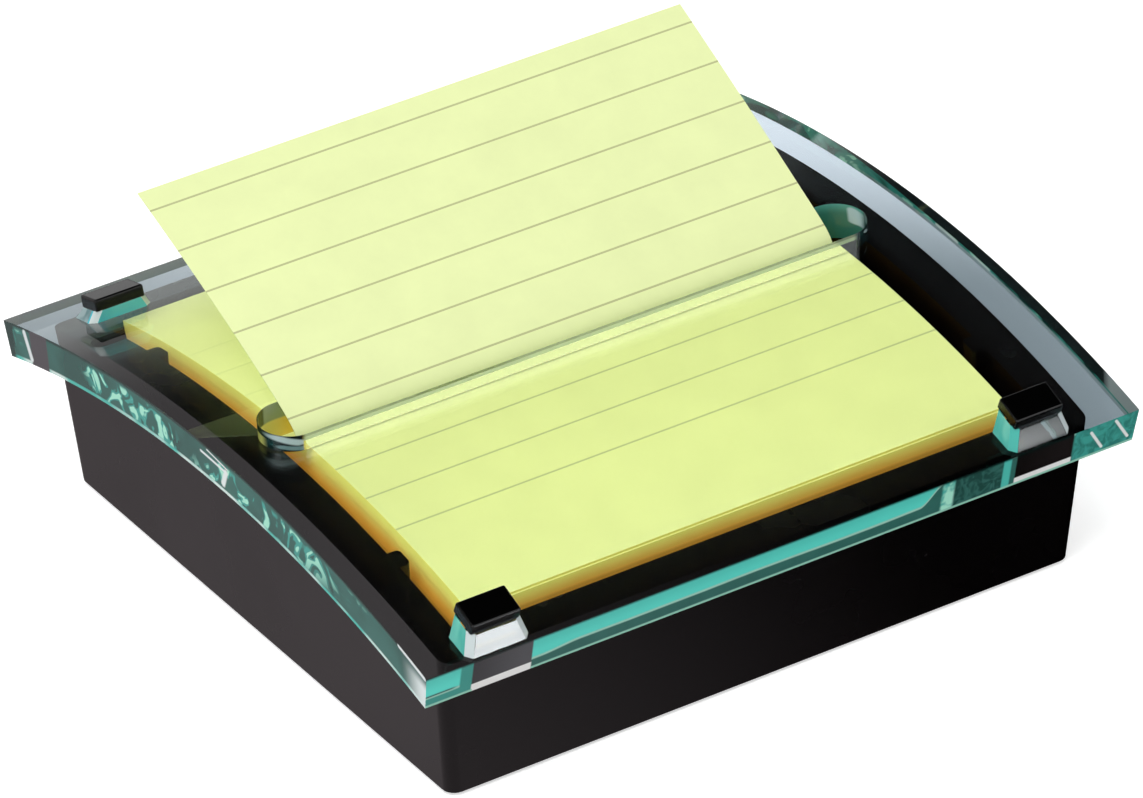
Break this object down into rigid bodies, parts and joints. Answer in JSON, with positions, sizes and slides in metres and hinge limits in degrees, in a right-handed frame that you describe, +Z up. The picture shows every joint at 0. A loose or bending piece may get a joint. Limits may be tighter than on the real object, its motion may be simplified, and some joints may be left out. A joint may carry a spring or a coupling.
{
  "type": "sticky note dispenser",
  "caption": "Desk dispenser for square pop-up notes: a weighted black base holds the pad under a clear arched top with black corner caps, and a note stands out of its slot.",
  "frame": {"origin": "under the middle of the dispenser, on the table", "axes": "+X along the slot to the right, +Y from the front to the back, +Z up"},
  "size_m": [0.1332, 0.1276, 0.0578],
  "materials": {
    "black_plastic": "satin moulded",
    "cover_plastic": "matt moulded",
    "ballast_steel": "plain rolled",
    "screw_steel": "zinc plated",
    "foot_rubber": "matt",
    "grey_card": "uncoated",
    "yellow_paper": "uncoated, with fine grey ruled lines",
    "clear_acrylic": "clear and polished, with a sea-green tint along the edges",
    "black_gloss": "gloss"
  },
  "bodies": {
    "base": {"base_shell": "black_plastic", "bottom_cover": "cover_plastic", "ballast_plate": "ballast_steel", "cover_screw_front_left": "screw_steel", "cover_screw_front_right": "screw_steel", "cover_screw_back_left": "screw_steel", "cover_screw_back_right": "screw_steel", "foot_front_left": "foot_rubber", "foot_front_right": "foot_rubber", "foot_back_left": "foot_rubber", "foot_back_right": "foot_rubber", "backing_card": "grey_card", "note_pad": "yellow_paper", "top_note": "yellow_paper"},
    "lid": {"clear_top": "clear_acrylic", "cap_front_left": "black_gloss", "cap_front_right": "black_gloss", "cap_back_left": "black_gloss", "cap_back_right": "black_gloss"},
    "note": {"popped_note": "yellow_paper"}
  },
  "joints": [
    {"name": "lid_lift", "type": "slide", "parent": "base", "child": "lid", "axis": [0, 0, 1], "range_m": [0, 0.05]},
    {"name": "note_pull", "type": "slide", "parent": "lid", "child": "note", "axis": [0, 0, 1], "range_m": [0, 0.048]}
  ]
}
